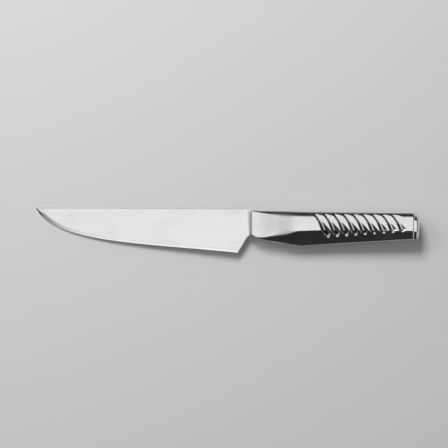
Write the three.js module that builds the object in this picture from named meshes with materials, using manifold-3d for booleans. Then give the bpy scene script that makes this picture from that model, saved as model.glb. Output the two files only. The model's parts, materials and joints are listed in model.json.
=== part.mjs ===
// Meat knife, all of steel: a flat-ground blade welded into a hollow handle of two pressed half shells.
// Millimetres. In the knife's own axes X runs from the tip to the butt, zero where the blade meets the
// handle. Y runs up to the spine, zero on the spine at the neck. Z runs across the blade from its mid-plane.
import * as THREE from 'three';
import { mergeVertices, toCreasedNormals } from 'three/addons/utils/BufferGeometryUtils.js';
import Module from 'manifold-3d';

// Blade outline
const BLADE_LENGTH = 170.4;
const TIP_RISE = 0.7;
const HEEL_SETBACK = 9.8;
const HEEL_DEPTH = 34.8;
const HEEL_ROUND = 0.7;
const HEEL_BACK_ANGLE = 59;
const NOTCH_ROUND = 2.8;
const EDGE_HEEL_ANGLE = 5.75;
const EDGE_HEEL_REACH = 80.9;
const EDGE_TIP_ANGLE = 61.4;
const EDGE_TIP_REACH = 31.5;
const BLADE_ROOT = 1;
const SHOULDER_ROUND = 1.5;

// Blade thickness, measured across both sides
const NECK_THICKNESS = 2.2;
const TIP_THICKNESS = 1.3;
const HEEL_THICKNESS = 0.8;
const EDGE_THICKNESS = 0.1;
const BEVEL_ANGLE = 11;

// Tang, the stub of the blade inside the handle
const TANG_LENGTH = 34;
const TANG_DROP = 4.6;
const TANG_HEIGHT = 12;
const TANG_ROUND = 4;

// Handle sections. back and belly are depths below the spine. The flat side panel starts drop below the
// back and ends rise above the belly, and half is its height above the mid-plane. keel is how roundly the
// belly leaves the panel: 2 is an oval, and nearer to 1 it is a facet with a crease at its top.
const SHELL_LENGTH = 128.4;
const CHIN_DISTANCE = 5.1;
const THROAT_DISTANCE = 19.4;
const SWELL_DISTANCE = 38.7;
const GRIP_DISTANCE = 48.7;
const NECK = { back: 1, belly: 20.8, drop: 1, rise: 0.7, half: 3.5, keel: 2 };
const CHIN = { back: 1.5, belly: 23.4, drop: 1.5, rise: 1.5, half: 3.9, keel: 2 };
const THROAT = { back: 1.8, belly: 26.4, drop: 5, rise: 8.2, half: 5.9, keel: 2 };
const SWELL = { back: 2.1, belly: 29.5, drop: 5.8, rise: 12.1, half: 8.8, keel: 1.2 };
const GRIP = { back: 2.3, belly: 28.9, drop: 5.8, rise: 11.9, half: 9, keel: 1.15 };
const BUTT = { back: 3.3, belly: 24.3, drop: 4.4, rise: 6.9, half: 8.2, keel: 1.15 };
const BACK_TURN = 2;
const BACK_FULLNESS = 4.5;
const END_ROUND = 6.5;
const END_INSET = 1.2;
const PANEL_INSET_SHARE = 0.8;
const WALL = 1.2;
const NOSE_WALL = 4;
const NOSE_THROAT = 1.5;

// Flutes pressed into each side. A flute has a steep wall towards the blade and a long ramp towards the butt.
// In its lower half a scoop with a level floor deepens along the foot of the wall, and closes at the lower
// end. The flutes lean and bend over their reach, and keep the distances at the end of this list from the
// back and the belly, on the first flute and after the run.
const FLUTE_COUNT = 9;
const FLUTE_PITCH = 7.75;
const FLUTE_BUTT_DISTANCE = 16.5;
const FLUTE_RUN = 71.6;
const FLUTE_REACH = 18.6;
const FLUTE_LEAN = 10.3;
const FLUTE_BEND = 0.35;
const FLUTE_BEND_SHIFT = 0.1;
const FLUTE_WALL = 1.7;
const FLUTE_DEPTH = 1;
const SCOOP_START = 0.45;
const SCOOP_FALL = 3;
const SCOOP_FLOOR = 1.4;
const SCOOP_SLOPE = 0.28;
const SCOOP_TURN = 0.22;
const SCOOP_EDGE = 0.35;
const FLUTE_TOP_FULLNESS = 4;
const FLUTE_LOW_FULLNESS = 8;
const FLUTE_TOP_FIRST = 0.7;
const FLUTE_TOP_LAST = 1.1;
const FLUTE_LOW_FIRST = 6;
const FLUTE_LOW_LAST = 7.9;

// Welds and the gap that pieces keep to each other
const FIT_GAP = 0.3;
const ROOT_GAP = 0.3;
const SEAM_DEPTH = 0.8;
const SEAM_WIDTH = 1.8;
const BEAD_WIDTH = 1;
const BEAD_DEPTH = 0.4;
const BEAD_ROOT = 0.2;
const BEAD_CROWN = 0.1;
const NECK_WELD_LEG_BACK = 3;
const NECK_WELD_LEG_BELLY = 1.8;
const NECK_WELD_TOE = 0.1;
const NECK_WELD_HOLLOW = 0.25;

// Butt cap
const CAP_RIM = 2;
const CAP_DOME = 2.7;
const CAP_FLAT = 0.06;
const CAP_SPIGOT = 3.8;
const CAP_DROP = 6.5;
const CAP_RISE = 5.3;
const CAP_FULLNESS = 2;

// Fineness of the curves and of the handle's grid of rows and columns
const EDGE_STEPS = 30;
const CORNER_STEPS = 5;
const OUTER_ROWS = { back: 5, panel: 9, belly: 9 };
const INNER_ROWS = { back: 3, panel: 9, belly: 6 };
const NECK_COLUMNS = 12;
const BUTT_COLUMNS = 8;
const END_COLUMNS = 5;
const LEAN_LIMIT = 1.2;
const LEAN_ROUNDS = 8;
const WELD_COLUMNS = 24;
const NECK_WELD_ROWS = 10;
const CAP_STEPS = 14;
const DOME_RINGS = 5;
const CREASE_ANGLE = 30;
const REST_ROUNDS = 4;

// Places that follow from the sizes above
const SHELL_FRONT = BLADE_ROOT + FIT_GAP;
const SHELL_END = SHELL_FRONT + SHELL_LENGTH;
const NOSE_END = SHELL_FRONT + NOSE_WALL;
const ROUND_START = SHELL_END - END_ROUND;
const FIRST_FLUTE = SHELL_END - FLUTE_BUTT_DISTANCE - (FLUTE_COUNT - 1) * FLUTE_PITCH;
const FLUTE_RAMP = FLUTE_PITCH - FLUTE_WALL;
const WELD_SEAT = FIT_GAP + NECK_WELD_TOE;
const CAP_FRONT = SHELL_END + FIT_GAP;

const { clamp, degToRad, lerp } = THREE.MathUtils;
const at = (x, y, z) => new THREE.Vector3(x, y, z);
const flat = (x, y) => new THREE.Vector2(x, y);
const steps = (count) => Array.from({ length: count + 1 }, (_, step) => step / count);
const wasm = await Module();
wasm.setup();

// Solids

// Stacks rings of points, all of one count, into a closed solid. A ring runs out along its outer side, of
// outerCount points, and back along its inner side, and each end is closed by a band between the two sides.
function loft(rings, outerCount) {
  const count = rings[0].length;
  const innerCount = count - outerCount;
  const positions = rings.flat().flatMap((point) => point.toArray());
  const index = [];
  for (let ring = 0; ring + 1 < rings.length; ring += 1) {
    for (let step = 0; step < count; step += 1) {
      const a = ring * count + step;
      const b = ring * count + (step + 1) % count;
      index.push(a, b, b + count, a, b + count, a + count);
    }
  }
  const endBand = [];
  let outer = 0;
  let inner = 0;
  while (outer < outerCount - 1 || inner < innerCount - 1) {
    const across = count - 1 - inner;
    if (inner === innerCount - 1 || (outer < outerCount - 1 && outer / outerCount <= inner / innerCount)) {
      endBand.push(outer, outer + 1, across);
      outer += 1;
    } else {
      endBand.push(outer, across - 1, across);
      inner += 1;
    }
  }
  const lastRing = (rings.length - 1) * count;
  index.push(...endBand.toReversed(), ...endBand.map((corner) => lastRing + corner));
  const geometry = new THREE.BufferGeometry();
  geometry.setAttribute('position', new THREE.Float32BufferAttribute(positions, 3));
  geometry.setIndex(signedVolume(positions, index) < 0 ? index.toReversed() : index);
  return geometry;
}

function signedVolume(positions, index) {
  const corner = (place) => at(0, 0, 0).fromArray(positions, 3 * index[place]);
  let volume = 0;
  for (let place = 0; place < index.length; place += 3) {
    volume += corner(place).dot(corner(place + 1).cross(corner(place + 2))) / 6;
  }
  return volume;
}

function toSolid(geometry) {
  geometry.deleteAttribute('normal');
  geometry.deleteAttribute('uv');
  const merged = mergeVertices(geometry);
  return new wasm.Manifold(new wasm.Mesh({
    numProp: 3,
    vertProperties: merged.attributes.position.array,
    triVerts: new Uint32Array(merged.index.array),
  }));
}

function toGeometry(solid) {
  const mesh = solid.getMesh();
  const geometry = new THREE.BufferGeometry();
  geometry.setAttribute('position', new THREE.BufferAttribute(mesh.vertProperties, 3));
  geometry.setIndex(new THREE.BufferAttribute(mesh.triVerts, 1));
  return geometry;
}

// Blade

function pointAlong(start, degrees, distance) {
  return flat(distance, 0).rotateAround(flat(0, 0), degToRad(degrees)).add(start);
}

const tip = flat(-BLADE_LENGTH, TIP_RISE);
const heel = flat(-HEEL_SETBACK, -HEEL_DEPTH);
const cuttingEdge = new THREE.CubicBezierCurve(
  heel,
  pointAlong(heel, 180 - EDGE_HEEL_ANGLE, EDGE_HEEL_REACH),
  pointAlong(tip, -EDGE_TIP_ANGLE, EDGE_TIP_REACH),
  tip,
);

// The flat-ground side of the blade, a plane through its neck, tip and heel.
const grind = new THREE.Plane().setFromCoplanarPoints(
  at(0, 0, NECK_THICKNESS / 2),
  at(tip.x, tip.y, TIP_THICKNESS / 2),
  at(heel.x, heel.y, HEEL_THICKNESS / 2),
);

function bladeHalf(x, y) {
  return -(grind.constant + grind.normal.x * x + grind.normal.y * y) / grind.normal.z;
}

// The blade's root and its tang are ground down, so that the toe of the neck weld lies flush with the blade.
function tangHalf(x, y) {
  return bladeHalf(x, y) - WELD_SEAT;
}

// Front line of the neck weld, which is wider at the back than at the belly.
function weldToe(y) {
  const share = (-NECK.back - y) / (NECK.belly - NECK.back);
  return BLADE_ROOT - lerp(NECK_WELD_LEG_BACK, NECK_WELD_LEG_BELLY, share);
}

// Points of a corner rounded from one point to another, about the sharp corner between them.
function roundCorner(from, corner, to) {
  return new THREE.QuadraticBezierCurve(from, corner, to).getPoints(CORNER_STEPS);
}

function bladeOutline() {
  const backLow = -NECK.back;
  const notchTop = -NECK.belly;
  const notchRise = (notchTop - heel.y) / Math.sin(degToRad(HEEL_BACK_ANGLE));
  const notch = pointAlong(heel, HEEL_BACK_ANGLE, notchRise);
  const tangTop = -TANG_DROP;
  const tangLow = tangTop - TANG_HEIGHT;
  const heelFore = cuttingEdge.getPointAt(HEEL_ROUND / cuttingEdge.getLength());
  return [
    ...roundCorner(flat(BLADE_ROOT - SHOULDER_ROUND, 0), flat(BLADE_ROOT, 0), flat(BLADE_ROOT, backLow)),
    flat(BLADE_ROOT, tangTop),
    ...roundCorner(
      flat(TANG_LENGTH - TANG_ROUND, tangTop),
      flat(TANG_LENGTH, tangTop),
      flat(TANG_LENGTH, tangTop - TANG_ROUND),
    ),
    ...roundCorner(
      flat(TANG_LENGTH, tangLow + TANG_ROUND),
      flat(TANG_LENGTH, tangLow),
      flat(TANG_LENGTH - TANG_ROUND, tangLow),
    ),
    flat(BLADE_ROOT, tangLow),
    ...roundCorner(flat(BLADE_ROOT, notchTop), notch, pointAlong(notch, HEEL_BACK_ANGLE, -NOTCH_ROUND)),
    ...roundCorner(pointAlong(heel, HEEL_BACK_ANGLE, HEEL_ROUND), heel, heelFore),
    ...cuttingEdge.getPoints(EDGE_STEPS).slice(1),
  ];
}

// The metal ground away on one side of the cutting bevel, swept along the edge and past both its ends.
function bevelCut(side) {
  const slope = Math.tan(degToRad(BEVEL_ANGLE));
  const reach = NECK_THICKNESS / slope;
  const overrun = HEEL_ROUND;
  const ringAt = (point, tangent) => {
    const inward = flat(tangent.y, -tangent.x);
    const corner = (distance, height) => {
      const spot = point.clone().addScaledVector(inward, distance);
      return at(spot.x, spot.y, side * height);
    };
    const rise = (distance) => EDGE_THICKNESS / 2 + distance * slope;
    return [corner(-overrun, rise(-overrun)), corner(reach, rise(reach)), corner(-overrun, rise(reach))];
  };
  const ringPast = (step, distance) => {
    const tangent = cuttingEdge.getTangent(step);
    return ringAt(cuttingEdge.getPoint(step).addScaledVector(tangent, distance), tangent);
  };
  const along = steps(EDGE_STEPS).map((step) => ringPast(step, 0));
  return toSolid(loft([ringPast(0, -HEEL_SETBACK), ...along, ringPast(1, TIP_THICKNESS)], 2));
}

// Solid with an outline, between two heights that each follow a rule.
function plate(outline, lower, upper) {
  const geometry = new THREE.ExtrudeGeometry(new THREE.Shape(outline), { depth: 1, bevelEnabled: false });
  const place = geometry.attributes.position;
  for (let corner = 0; corner < place.count; corner += 1) {
    const height = place.getZ(corner) > 0 ? upper : lower;
    place.setZ(corner, height(place.getX(corner), place.getY(corner)));
  }
  return toSolid(geometry);
}

// The metal ground away on one side of the blade's root and tang.
function seatCut(side) {
  const top = -NECK.back;
  const low = -NECK.belly - NOTCH_ROUND;
  const end = TANG_LENGTH + FIT_GAP;
  const outline = [
    flat(weldToe(top) - FIT_GAP, top),
    flat(weldToe(low) - FIT_GAP, low),
    flat(end, low),
    flat(end, top),
  ];
  return side > 0
    ? plate(outline, tangHalf, () => NECK_THICKNESS)
    : plate(outline, () => -NECK_THICKNESS, (x, y) => -tangHalf(x, y));
}

function makeBlade() {
  const cuts = [1, -1].flatMap((side) => [bevelCut(side), seatCut(side)]);
  const blank = plate(bladeOutline(), (x, y) => -bladeHalf(x, y), bladeHalf);
  return toGeometry(cuts.reduce((solid, cut) => solid.subtract(cut), blank));
}

// Handle section

const stations = [
  { x: SHELL_FRONT, ...NECK },
  { x: SHELL_FRONT + CHIN_DISTANCE, ...CHIN },
  { x: SHELL_FRONT + THROAT_DISTANCE, ...THROAT },
  { x: SHELL_FRONT + SWELL_DISTANCE, ...SWELL },
  { x: SHELL_FRONT + GRIP_DISTANCE, ...GRIP },
  { x: SHELL_END, ...BUTT },
];
const handleLines = new THREE.CubicInterpolant(
  stations.map((station) => station.x),
  stations.flatMap(({ back, belly, drop, rise, half, keel }) => [back, belly, drop, rise, half, keel]),
  Object.keys(NECK).length,
);

function shrunk(section, inset) {
  const panelInset = PANEL_INSET_SHARE * inset;
  return {
    top: section.top - inset,
    panelTop: section.panelTop - panelInset,
    panelLow: section.panelLow + panelInset,
    bottom: section.bottom + inset,
    half: section.half - inset,
    keel: section.keel,
  };
}

// Outside of the handle at a distance along it. Its end is rounded over before the butt cap.
function sectionAt(x) {
  const [back, belly, drop, rise, half, keel] = handleLines.evaluate(x);
  const section = { top: -back, panelTop: -back - drop, panelLow: rise - belly, bottom: -belly, half, keel };
  const round = clamp((x - ROUND_START) / END_ROUND, 0, 1);
  return shrunk(section, END_INSET * (1 - Math.sqrt(1 - round * round)));
}

// Falls from 1 to 0. A low turn starts the fall at once, and a high fullness puts it off.
function quarter(share, turn, fullness) {
  return (1 - clamp(share, 0, 1) ** turn) ** (1 / fullness);
}

// Height of the section's skin above the mid-plane.
function skinHeight(section, y, backFullness = BACK_FULLNESS) {
  const { top, panelTop, panelLow, bottom, half, keel } = section;
  if (y > panelTop) {
    return half * quarter((y - panelTop) / (top - panelTop), BACK_TURN, backFullness);
  }
  return half * quarter((panelLow - y) / (panelLow - bottom), keel, keel);
}

// Height of a row of the skin: from the back seam at -1, over the panel from 0 to 1, to the belly seam at 2.
// The skin stands as high as given above the mid-plane at the seams.
function rowHeight(section, row, seamHeight) {
  const { top, panelTop, panelLow, bottom, half, keel } = section;
  const level = (turn) => lerp(seamHeight / half, 1, Math.cos(turn * Math.PI / 2));
  if (row < 0) {
    return lerp(panelTop, top, quarter(level(-row), BACK_FULLNESS, BACK_TURN));
  }
  if (row > 1) {
    return lerp(panelLow, bottom, quarter(level(row - 1), keel, keel));
  }
  return lerp(panelTop, panelLow, row);
}

// Flutes

// The flutes at a point of the skin: how far they have leaned towards the butt, the extra depth of their
// scoop, the width of the scoop's side, and the share of the depth that their rounded ends leave.
function flutesAt(section, x, y) {
  const along = clamp((x - FIRST_FLUTE) / FLUTE_RUN, 0, 1);
  const upper = section.top - lerp(FLUTE_TOP_FIRST, FLUTE_TOP_LAST, along);
  const lower = section.bottom + lerp(FLUTE_LOW_FIRST, FLUTE_LOW_LAST, along);
  const band = (upper - y) / (upper - lower);
  const share = clamp((upper - y) / FLUTE_REACH, 0, LEAN_LIMIT);
  const swing = (part) => Math.sin(2 * Math.PI * part) / (2 * Math.PI);
  const bend = FLUTE_BEND * (swing(share - FLUTE_BEND_SHIFT) + swing(FLUTE_BEND_SHIFT));
  const scoop = SCOOP_FALL * Math.max(0, share - SCOOP_START);
  const room = (FLUTE_RAMP - SCOOP_FLOOR) * clamp((1 - band) / SCOOP_TURN, 0, 1);
  const fullness = band > 0.5 ? FLUTE_LOW_FULLNESS : FLUTE_TOP_FULLNESS;
  return {
    lean: FLUTE_LEAN * (share + bend),
    scoop,
    side: Math.max(SCOOP_EDGE, Math.min(scoop / SCOOP_SLOPE, room)),
    ends: Math.max(0, 1 - Math.abs(2 * band - 1) ** fullness),
  };
}

// How deep a flute is pressed at a distance from the foot of its wall, towards the butt.
function fluteDepth({ scoop, side, ends }, aside) {
  const wall = (FLUTE_DEPTH + scoop) * (1 + aside / FLUTE_WALL);
  const ramp = FLUTE_DEPTH * Math.max(0, 1 - aside / FLUTE_RAMP);
  const bank = scoop * clamp(1 - (aside - SCOOP_FLOOR) / side, 0, 1);
  return ends * Math.max(0, Math.min(wall, ramp + bank));
}

// Handle shells

// Columns of the grid: where each starts at the back, the shares of the flutes' lean and of the scoop's side
// that it takes, and the number of its flute. Over the flutes they follow the creases.
function shellColumns() {
  const neckStart = NOSE_END + NOSE_THROAT;
  const column = (start, lean = 0, side = 0, flute = 0) => ({ start, lean, side, flute });
  const neck = steps(NECK_COLUMNS).slice(0, -1).map((step) => (
    column(lerp(neckStart, FIRST_FLUTE - FLUTE_WALL, step), step)
  ));
  const flutes = [];
  for (let flute = 0; flute < FLUTE_COUNT; flute += 1) {
    const foot = FIRST_FLUTE + flute * FLUTE_PITCH;
    flutes.push(
      column(foot - FLUTE_WALL, 1, 0, flute),
      column(foot, 1, 0, flute),
      column(foot + SCOOP_FLOOR, 1, 0, flute),
      column(foot + SCOOP_FLOOR, 1, 1, flute),
    );
  }
  const last = flutes.at(-1);
  const butt = steps(BUTT_COLUMNS).slice(1).map((step) => {
    const share = Math.sin(step * Math.PI / 2);
    return column(lerp(last.start, SHELL_END, share), 1 - share, 1 - share, last.flute);
  });
  return [column(SHELL_FRONT), column(NOSE_END), ...neck, ...flutes, ...butt];
}

function shellRows({ back, panel, belly }) {
  return [
    ...steps(back).slice(0, -1).map((step) => step - 1),
    ...steps(panel),
    ...steps(belly).slice(1).map((step) => step + 1),
  ];
}

// Point of the shell's skin, which lies inset below the outer section and is pressed in along the flutes.
// Its column leans, so its place along the handle and its height are found in turn.
function skinPoint(column, row, inset, seamHeight) {
  const place = (x) => {
    const outer = sectionAt(x);
    const section = shrunk(outer, inset);
    const y = rowHeight(section, row, seamHeight);
    return { section, y, flutes: flutesAt(outer, x, y) };
  };
  let x = column.start;
  for (let round = 0; round < LEAN_ROUNDS; round += 1) {
    const { flutes } = place(x);
    x = column.start + column.lean * flutes.lean + column.side * flutes.side;
  }
  const { section, y, flutes } = place(x);
  const aside = x - FIRST_FLUTE - column.flute * FLUTE_PITCH - flutes.lean;
  return at(x, y, skinHeight(section, y) - fluteDepth(flutes, aside));
}

// Foot of the chamfer on a half shell's seam edge, at the back or the belly.
function seamFoot(edge, outward) {
  const section = sectionAt(edge.x);
  const y = outward > 0 ? section.top - SEAM_DEPTH : section.bottom + SEAM_DEPTH;
  return at(edge.x, y, ROOT_GAP / 2);
}

// Half of the slot that takes the tang through the solid nose of the handle.
function slotPoints(x, count) {
  const top = FIT_GAP - TANG_DROP;
  const low = -TANG_DROP - TANG_HEIGHT - FIT_GAP;
  const side = steps(count - 3).map((step) => lerp(top, low, step));
  const points = side.map((y) => at(x, y, tangHalf(x, y) + FIT_GAP));
  return [at(x, top, ROOT_GAP / 2), ...points, at(x, low, ROOT_GAP / 2)];
}

function makeShell(side) {
  const outerRows = shellRows(OUTER_ROWS);
  const innerRows = shellRows(INNER_ROWS);
  const rings = shellColumns().map((column) => {
    const outer = outerRows.map((row) => skinPoint(column, row, 0, SEAM_WIDTH / 2));
    const inner = column.start > NOSE_END
      ? innerRows.map((row) => skinPoint(column, row, WALL, ROOT_GAP / 2))
      : slotPoints(column.start, innerRows.length);
    return [...outer, seamFoot(outer.at(-1), -1), ...inner.toReversed(), seamFoot(outer[0], 1)];
  });
  rings.flat().forEach((point) => point.setZ(side * point.z));
  return loft(rings, outerRows.length);
}

// Welds

// Bead along a seam of the handle. The line gives its surface, and outward is the way that it faces.
function makeSeamWeld(line, outward) {
  const straight = steps(WELD_COLUMNS).slice(0, -1).map((step) => lerp(SHELL_FRONT, ROUND_START, step));
  const end = steps(END_COLUMNS).map((step) => ROUND_START + END_ROUND * Math.sin(step * Math.PI / 2));
  return loft([...straight, ...end].map((x) => {
    const y = line(sectionAt(x));
    const foot = y - outward * BEAD_DEPTH;
    return [
      at(x, y, BEAD_WIDTH / 2),
      at(x, y + outward * BEAD_CROWN, 0),
      at(x, y, -BEAD_WIDTH / 2),
      at(x, foot, -BEAD_ROOT / 2),
      at(x, foot, BEAD_ROOT / 2),
    ];
  }), 3);
}

// Hollow fillet between one side of the blade and the front of the neck.
function makeNeckWeld(side) {
  const neck = sectionAt(SHELL_FRONT);
  const top = neck.top - FIT_GAP;
  const low = neck.bottom + FIT_GAP;
  return loft(steps(NECK_WELD_ROWS).map((step) => {
    const y = lerp(top, low, (1 - Math.cos(step * Math.PI)) / 2);
    const toe = weldToe(y);
    const base = (x) => tangHalf(x, y) + FIT_GAP;
    const crest = Math.max(skinHeight(neck, y), base(BLADE_ROOT) + 2 * NECK_WELD_TOE);
    const bend = lerp(BLADE_ROOT, toe, NECK_WELD_HOLLOW);
    const face = new THREE.QuadraticBezierCurve(
      flat(BLADE_ROOT, crest),
      flat(bend, lerp(base(bend) + NECK_WELD_TOE, crest, NECK_WELD_HOLLOW)),
      flat(toe, base(toe) + NECK_WELD_TOE),
    );
    const ring = [flat(toe, base(toe)), flat(BLADE_ROOT, base(BLADE_ROOT)), ...face.getPoints(CORNER_STEPS)];
    return ring.map((point) => at(point.x, y, side * point.y));
  }), 2);
}

// Butt cap

// Closed outline of a section, drawn in towards its middle to a share of its size.
function sectionLoop(x, section, share, backFullness) {
  const middle = (section.top + section.bottom) / 2;
  const reach = (section.top - section.bottom) / 2;
  const edge = (turn) => {
    const y = middle + reach * Math.cos(turn);
    const width = skinHeight(section, y, backFullness);
    return at(x, lerp(middle, y, share), share * width * (turn > Math.PI ? -1 : 1));
  };
  return steps(2 * CAP_STEPS).slice(0, -1).map((step) => edge(2 * Math.PI * step));
}

function makeCap() {
  const end = sectionAt(SHELL_END);
  const spigot = shrunk(end, WALL + FIT_GAP);
  const rim = { ...end, panelTop: end.top - CAP_DROP, panelLow: end.bottom + CAP_RISE };
  const dome = steps(DOME_RINGS).map((step) => {
    const turn = step * Math.acos(CAP_FLAT);
    return sectionLoop(CAP_FRONT + CAP_RIM + CAP_DOME * Math.sin(turn), rim, Math.cos(turn), CAP_FULLNESS);
  });
  return loft([
    sectionLoop(SHELL_END - CAP_SPIGOT, spigot, 1),
    sectionLoop(CAP_FRONT, spigot, 1),
    sectionLoop(CAP_FRONT, rim, 1, CAP_FULLNESS),
    ...dome,
  ], CAP_STEPS + 1);
}

// Assembly

const satin = { color: 0xc6c7c9, roughness: 0.34, metalness: 1 };
const ground = { color: 0xd2d3d4, roughness: 0.26, metalness: 1 };
const bead = { color: 0xbcbdbf, roughness: 0.4, metalness: 1 };

const knife = new THREE.Group();

function addPiece(name, geometry, finish) {
  const piece = new THREE.Mesh(
    toCreasedNormals(geometry, degToRad(CREASE_ANGLE)),
    new THREE.MeshStandardMaterial(finish),
  );
  piece.name = name;
  knife.add(piece);
}

addPiece('blade', makeBlade(), ground);
addPiece('left_handle_shell', makeShell(1), satin);
addPiece('right_handle_shell', makeShell(-1), satin);
addPiece('left_neck_weld', makeNeckWeld(1), bead);
addPiece('right_neck_weld', makeNeckWeld(-1), bead);
addPiece('spine_weld', makeSeamWeld((section) => section.top, 1), bead);
addPiece('belly_weld', makeSeamWeld((section) => section.bottom + BEAD_CROWN, -1), bead);
addPiece('butt_cap', makeCap(), satin);

function corners(name) {
  const place = knife.getObjectByName(name).geometry.attributes.position;
  return Array.from({ length: place.count }, (_, corner) => at(0, 0, 0).fromBufferAttribute(place, corner));
}

// Laid on its right side, the knife touches down near its tip and on the swell of the handle. The fall from
// one to the other is found by moving each point to the lowest corner along the other's line in turn.
function restAngle() {
  const handle = corners('right_handle_shell');
  const point = corners('blade').filter((corner) => corner.x < -BLADE_LENGTH / 2);
  const lower = (height) => (low, corner) => (height(corner) < height(low) ? corner : low);
  const lowest = (list, height) => list.reduce(lower(height));
  let fore = lowest(point, (corner) => corner.x);
  let slope = 0;
  for (let round = 0; round < REST_ROUNDS; round += 1) {
    const fall = (corner) => (corner.z - fore.z) / (corner.x - fore.x);
    slope = fall(lowest(handle, fall));
    fore = lowest(point, (corner) => corner.z - slope * corner.x);
  }
  return Math.atan(slope);
}

// The origin is at the bottom centre of the box round the knife as it lies.
const lying = new THREE.Group();
lying.add(knife);
knife.rotation.y = restAngle();
lying.updateMatrixWorld(true);
const box = new THREE.Box3().setFromObject(lying, true);
const middle = box.getCenter(at(0, 0, 0));
knife.position.set(-middle.x, -middle.y, -box.min.z);

export default lying;
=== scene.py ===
"""Meat knife of satin steel, lying on its right side, as seen from straight above.

Sizes are in millimetres in the knife's own axes: X runs from the tip to the butt, zero where the blade meets
the handle, Y runs up to the spine, zero on the spine at the neck, and Z runs across from the mid-plane.
knife_placement() finds those axes in the frame, and every piece is carried there once it is whole.
"""
import json
import math

import bmesh
import bpy
import numpy as np
from mathutils import Matrix, Vector


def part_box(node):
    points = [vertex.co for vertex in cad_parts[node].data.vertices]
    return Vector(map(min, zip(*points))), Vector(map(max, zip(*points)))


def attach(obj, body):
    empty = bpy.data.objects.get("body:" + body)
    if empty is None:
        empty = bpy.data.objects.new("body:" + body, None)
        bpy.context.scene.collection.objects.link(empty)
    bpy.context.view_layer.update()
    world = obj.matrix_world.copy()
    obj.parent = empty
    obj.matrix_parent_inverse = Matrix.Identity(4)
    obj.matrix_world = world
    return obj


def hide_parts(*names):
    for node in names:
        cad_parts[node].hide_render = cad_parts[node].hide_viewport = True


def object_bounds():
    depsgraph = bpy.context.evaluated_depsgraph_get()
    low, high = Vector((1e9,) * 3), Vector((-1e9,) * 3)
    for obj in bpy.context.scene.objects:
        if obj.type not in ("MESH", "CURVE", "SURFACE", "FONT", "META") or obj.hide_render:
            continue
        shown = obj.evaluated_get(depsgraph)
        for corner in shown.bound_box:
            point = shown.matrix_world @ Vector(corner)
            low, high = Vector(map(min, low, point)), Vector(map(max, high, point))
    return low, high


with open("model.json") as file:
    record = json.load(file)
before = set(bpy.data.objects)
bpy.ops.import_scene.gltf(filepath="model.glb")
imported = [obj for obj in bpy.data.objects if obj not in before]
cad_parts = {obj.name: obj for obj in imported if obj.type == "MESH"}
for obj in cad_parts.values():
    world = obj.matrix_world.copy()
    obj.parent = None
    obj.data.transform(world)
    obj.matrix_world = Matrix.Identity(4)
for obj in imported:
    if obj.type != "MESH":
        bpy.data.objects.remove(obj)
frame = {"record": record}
cad_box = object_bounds()

MM = 0.001
SAME_POINT = 1e-5
NO_LENGTH = 1e-6

# Blade
BLADE_LENGTH = 170.4
TIP_RISE = 0.7
HEEL = np.array([-9.8, -34.8])
HEEL_ROUND = 0.72
HEEL_BACK_ANGLE = 59
NOTCH_ROUND = 2.8
EDGE_HEEL_ANGLE = 5.75
EDGE_HEEL_REACH = 80.9
EDGE_TIP_ANGLE = 61.4
EDGE_TIP_REACH = 31.5
BLADE_ROOT = 1
SHOULDER_ROUND = 1.5
NECK_HALF = 1.1
TIP_HALF = 0.72
POINT_HALF = 0.35
POINT_LENGTH = 8
POINT_BEVEL_ANGLE = 24
HEEL_HALF = 0.4
EDGE_HALF = 0.05
BEVEL_ANGLE = 11
SPINE_ROUND = 0.15
BACK_ROUND = 0.12
TANG_LENGTH = 34
TANG_TOP = -4.6
TANG_LOW = -16.6
WELD_SEAT = 0.4
SPINE_SHARE = 0.2
BACK_SHARE = 0.3
ROUND_SHARE = 0.6
LEAST_HALF = 0.015
LEAST_BEVEL = 0.2
TIP_SHARE = 0.1
EDGE_OVERRUN = 20
EDGE_STEPS = 160
HEEL_STEPS = 6
NOTCH_STEPS = 12
RISE_STEPS = 14
SHOULDER_HALVINGS = 40
SPINE_ROWS = 7
FACE_ROWS = 9
BEVEL_ROWS = 5
BLADE_SHARP = 20

# Handle sections: back and belly below the spine, drop and rise of the side panel, its half width, how
# roundly the belly leaves it, and the share of the half width that the underside keeps
STATIONS = {
    "neck": (1.3, (1, 20.8, 1, 0.7, 3.5, 2, 0.85)),
    "chin": (6.4, (1.5, 23.4, 1.5, 1.2, 3.9, 2, 0.85)),
    "throat": (20.7, (1.8, 26.4, 5, 9.8, 5.9, 2.4, 0.42)),
    "swell": (40, (2.1, 29.5, 5.8, 12.1, 8.8, 1.15, 0.17)),
    "grip": (50, (2.3, 28.9, 5.8, 11.9, 9, 1.1, 0.16)),
    "butt": (129.7, (3.3, 24.3, 4.4, 6.9, 8, 1.05, 0.34)),
}
SHELL_FRONT = STATIONS["neck"][0]
SHELL_END = STATIONS["butt"][0]
TOP, PANEL_TOP, PANEL_LOW, BOTTOM, HALF, KEEL, FOOT = range(7)
BACK_ROUNDING = 0.24
UNDERSIDE_CROWN = 0.2
FRONT_ROUND = 0.9
FRONT_INSET = 0.4
END_ROUND = 0.9
END_INSET = 0.16
PANEL_INSET_SHARE = 0.8
WALL = 1.2
NOSE_END = SHELL_FRONT + 4
NOSE_BACK = NOSE_END + 1.5
FIT_GAP = 0.3
SEAM_HALF = 0.9
ROOT_HALF = 0.15
SEAM_DEPTH = 0.8
OUTER_ROWS = (30, 70, 28, 6)
INNER_ROWS = (3, 12, 4, 1)
FRONT_COLUMNS = 7
NOSE_COLUMNS = 6
NOSE_BACK_COLUMNS = 3
THROAT_COLUMNS = 36
SWELL_COLUMNS = 40
RAMP_COLUMNS = 18
BUTT_COLUMNS = 44
LEAN_PASSES = 8
SHELL_SHARP = 75

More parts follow.
